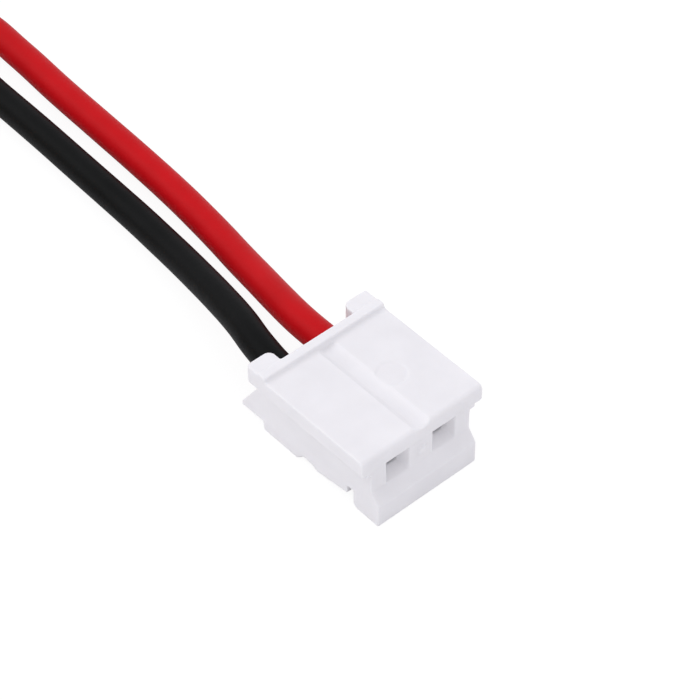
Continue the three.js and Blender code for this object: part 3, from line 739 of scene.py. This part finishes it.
# moulded epoxy of chips and resistor bodies: matt, near black, with a fine sparkle of filler
def mouldedEpoxy():
    colors = ("#131315", "#1D1D20")
    return grained("moulded black epoxy", {"IOR": 1.55}, colors, 0.4, 0.05, (0.5, 0.72), 0.006)[0]


# fired barium titanate: even tan, eggshell
def firedCeramic():
    colors = ("#A48A68", "#B99E7C")
    return grained("fired tan ceramic", {"IOR": 1.6}, colors, 0.5, 0.05, (0.4, 0.55), 0.004)[0]


# reflowed tin solder: bright, with a slightly frosted skin
def reflowedSolder():
    colors = ("#B7BABD", "#D3D5D6")
    return grained("reflowed tin solder", {"Metallic": 1.0}, colors, 0.5, 0.12, (0.16, 0.36), 0.02)[0]


# gold flash over nickel: thin warm plating, slightly uneven
def goldFlash():
    colors = ("#D9A441", "#E8BC62")
    return grained("gold-flashed copper pad", {"Metallic": 1.0}, colors, 0.6, 0.06, (0.22, 0.36), 0.003)[0]


# rolled strip: long fine lines along the strip
def rolledStrip(name, colors):
    surface = grained(name, {"Metallic": 1.0}, colors, 1.5, 0.06, (0.26, 0.42), 0.003)
    return addRelief(surface, "TexNoise", 0.9, 0.006, stretch=(10.0, 0.6, 0.6), Detail=3.0)


# closed-cell polyethylene foam: white, matt, with small open cells on the cut face
def cutFoam():
    colors = ("#E8E8E3", "#F5F5F1")
    surface = grained("cut polyethylene foam", {"IOR": 1.5}, colors, 1.0, 0.15, (0.85, 0.97), 0.03)
    return addRelief(surface, "TexVoronoi", 0.3, 0.12)


# wound layers seen at the roll's end: thin even lines of sheet
# the sheets are about a tenth of a millimetre thick, and the lines are drawn coarser to show
def woundSheet(name, colors, roughness):
    surface = grained(name, {"IOR": 1.5}, colors, 2.0, 0.08, roughness, 0.004)
    return addRelief(surface, "TexWave", 0.8, 0.02, 0.8, settings={"bands_direction": "Z"}, Distortion=1.5)


board = {
    "padHeight": 0.04,
    "padRim": 0.1,  # how far a pad shows past what stands on it, both sides together
    "testPads": (-2.3, -1.2),
    "capWidth": 0.26,  # of a part's tinned end
    "legThickness": 0.12,
    "legWidth": 0.24,
    "legReach": 0.32,
    "chips": {"mosfet_chip": 4, "protection_ic": 3},  # legs along each long side
    "passives": ("sense_resistor", "filter_resistor", "filter_capacitor", "output_capacitor"),
    "weldRadius": 0.2,
    "weldProfile": ((1.0, -0.03), (0.92, 0.012), (0.62, 0.026), (0.3, 0.008), (0.08, 0.0)),
}


def plate(middle, size):
    # a small flat plate; its edges are broken by a bevel afterwards
    x, y, z = middle
    a, b, c = (s / 2 for s in size)
    signs = [(-1, -1), (1, -1), (1, 1), (-1, 1)]
    points = [(x + i * a, y + k * b, z + up * c) for up in (-1, 1) for i, k in signs]
    faces = [(3, 2, 1, 0), (4, 5, 6, 7)] + [(k, (k + 1) % 4, (k + 1) % 4 + 4, k + 4) for k in range(4)]
    return points, faces


def middleAndSize(name):
    low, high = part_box(name)
    return (low + high) / 2 / mm, (high - low) / mm


def makeTerminations(material):
    # the tinned metal caps at both ends of each small part
    parts = []
    for name in board["passives"]:
        middle, size = middleAndSize(name)
        for side in (-1, 1):
            x = middle.x + side * (size.x / 2 - 0.11)
            parts.append(plate((x, middle.y, middle.z), (board["capWidth"], size.y + 0.03, size.z + 0.03)))
    bevelNode(meshPiece("part_terminations", *together(parts), material, "solder"), 0.02)


def makePads(material):
    # gold pads under the parts, the leads and the two test points
    top = boardHigh[2] / mm
    parts = []
    for name in board["passives"]:
        middle, size = middleAndSize(name)
        for side in (-1, 1):
            x = middle.x + side * (size.x / 2 + 0.02)
            parts.append(plate((x, middle.y, top), (0.5, size.y + 0.14, board["padHeight"])))
    for pole in ("positive", "negative"):
        middle, size = middleAndSize(pole + "_solder_joint")
        around = board["padRim"]
        parts.append(plate((middle.x, middle.y, top), (size.x + around, size.y + around, board["padHeight"])))
    for x in board["testPads"]:
        parts.append(plate((x, boardHigh[1] / mm - 0.7, top), (0.8, 0.8, board["padHeight"])))
    bevelNode(meshPiece("board_pads", *together(parts), material, "nickel"), 0.012)


def makeChipLegs(material):
    # gull-wing legs along the long sides of both chips
    parts = []
    for name, count in board["chips"].items():
        middle, size = middleAndSize(name)
        floor = boardHigh[2] / mm + board["padHeight"]
        for side in (-1, 1):
            for k in range(count):
                x = middle.x + size.x * ((k + 0.5) / count - 0.5) * 0.92
                parts.append(gullWing(x, middle.y + side * size.y / 2, side, floor, middle.z))
    bevelNode(meshPiece("chip_legs", *together(parts), material, "solder"), 0.02)


def gullWing(x, y, side, floor, height):
    t, half, reach = board["legThickness"] / 2, board["legWidth"] / 2, board["legReach"]
    line = [(0, height), (0.35, height), (0.6, floor + t), (1, floor + t)]
    rings = []
    for share, z in line:
        at = y + side * reach * (share - 0.05)
        corners = ((-half, -t), (half, -t), (half, t), (-half, t))
        rings.append([(x + across, at, z + up) for across, up in corners])
    return loft(rings)


def makeWeldSpots(material):
    # two rows of spot welds press each tab onto its plate
    parts = []
    for pole in ("positive", "negative"):
        middle = middleAndSize(pole + "_bond_plate")[0]
        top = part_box(pole + "_tab")[1][2] / mm
        for across in (-0.9, -0.3, 0.3, 0.9):
            for along in (-0.35, 0.4):
                rings = []
                for radius, height in board["weldProfile"]:
                    turns = [math.tau * k / 14 for k in range(14)]
                    r = radius * board["weldRadius"]
                    x, y = middle.x + across, middle.y + along
                    rings.append([(x + r * math.cos(t), y + r * math.sin(t), top + height) for t in turns])
                parts.append(loft(rings))
    meshPiece("weld_spots", *together(parts), material, "nickel")


def finishInside():
    solder, epoxy, ceramic = reflowedSolder(), mouldedEpoxy(), firedCeramic()
    nickel = rolledStrip("rolled nickel strip", ("#A8A49A", "#C3BFB5"))
    aluminium = rolledStrip("rolled aluminium strip", ("#C2C5C9", "#DADCDF"))
    film = woundSheet("modified polypropylene tab film", ("#DDDDD4", "#ECECE6"), (0.35, 0.5))
    separator = woundSheet("microporous polyethylene separator", ("#EDEDE8", "#F7F7F4"), (0.6, 0.75))
    cathode = woundSheet("lithium cobalt oxide coating", ("#232427", "#303236"), (0.75, 0.9))
    anode = woundSheet("graphite coating on copper", ("#3A3532", "#4E3F35"), (0.6, 0.8))
    rollTape = woundSheet("green polyester roll tape", ("#2F7D4A", "#43945E"), (0.3, 0.42))
    finishes = {
        "protection_board": (solderMask(), 0.03),
        "board_foam_pad": (cutFoam(), 0.08),
        "positive_bond_plate": (nickel, 0.03),
        "negative_bond_plate": (nickel, 0.03),
        "negative_tab": (nickel, 0.02),
        "positive_tab": (aluminium, 0.02),
        "positive_tab_film": (film, 0.03),
        "negative_tab_film": (film, 0.03),
        "mosfet_chip": (epoxy, 0.06),
        "protection_ic": (epoxy, 0.05),
        "sense_resistor": (epoxy, 0.03),
        "filter_resistor": (epoxy, 0.03),
        "filter_capacitor": (ceramic, 0.04),
        "output_capacitor": (ceramic, 0.04),
        "outer_separator": (separator, 0.02),
        "inner_separator": (separator, 0.02),
        "cathode_winding": (cathode, 0.02),
        "anode_winding": (anode, 0.02),
        "roll_end_tape": (rollTape, 0.02),
    }
    for name, (material, edge) in finishes.items():
        bevelNode(nodes[name], edge)
        setMaterial(nodes[name], material)
    for pole in ("positive", "negative"):
        softenNode(nodes[pole + "_solder_joint"], 0.045, 4)
        setMaterial(nodes[pole + "_solder_joint"], solder)
    makeTerminations(solder)
    makeChipLegs(solder)
    makePads(goldFlash())
    makeWeldSpots(nickel)


finishInside()
print("board, tabs and windings finished")


# stage: a pale table under a soft sky, with one softbox above and behind the plug's left
light = {
    "zenith": 0.96,
    "horizon": 0.88,
    "keyPower": 0.07,
    "keySize": 130.0,
    "keyFrom": (-80.0, -80.0, 130.0),  # from the plug's front, in mm
    "tableGlow": 0.85,  # how much of the table's white is its own
    "tableWhite": 1.06,
}


def makeStage():
    world = bpy.data.worlds.new("studio")
    bpy.context.scene.world = world
    world.use_nodes = True
    sky = world.node_tree
    background = sky.nodes["Background"]
    background.inputs["Color"].default_value = hexColor("#FBFAFF")
    direction = addNode(sky, "TexCoord").outputs["Generated"]
    height = addNode(sky, "SeparateXYZ", None, {"Vector": direction}).outputs["Z"]
    links = {"Value": height, "To Min": light["horizon"], "To Max": light["zenith"]}
    strength = addNode(sky, "MapRange", None, links)
    sky.links.new(strength.outputs["Result"], background.inputs["Strength"])

    bpy.ops.mesh.primitive_plane_add(size=4)
    table = bpy.context.active_object
    table.name = "table"
    values = {"Base Color": hexColor("#F2F2F2"), "Roughness": 0.9, "Specular IOR Level": 0.0}
    material, tree, shader, place = newMaterial("white table", values)
    glow = addNode(tree, "Emission", None, {"Color": (1, 1, 1, 1), "Strength": light["tableWhite"]})
    ray = addNode(tree, "LightPath").outputs["Is Camera Ray"]
    seen = addNode(tree, "Math", {"operation": "MULTIPLY"}, {0: ray, 1: light["tableGlow"]})
    mix = addNode(tree, "MixShader", None, {"Fac": seen.outputs[0]})
    tree.links.new(shader.outputs[0], mix.inputs[1])
    tree.links.new(glow.outputs[0], mix.inputs[2])
    tree.links.new(mix.outputs[0], tree.nodes["Material Output"].inputs["Surface"])
    setMaterial(table, material)

    key = bpy.data.lights.new("softbox", "AREA")
    key.energy = light["keyPower"]
    key.size = light["keySize"] * mm
    box = bpy.data.objects.new("softbox", key)
    middle = Vector((plugFront, plugMiddle, 0))
    box.location = middle + Vector(light["keyFrom"]) * mm
    box.rotation_euler = (middle - box.location).to_track_quat("-Z", "Y").to_euler()
    bpy.context.scene.collection.objects.link(box)


makeStage()
bpy.context.scene.view_settings.view_transform = "Standard"
print("stage lit")

bpy.context.view_layer.update()
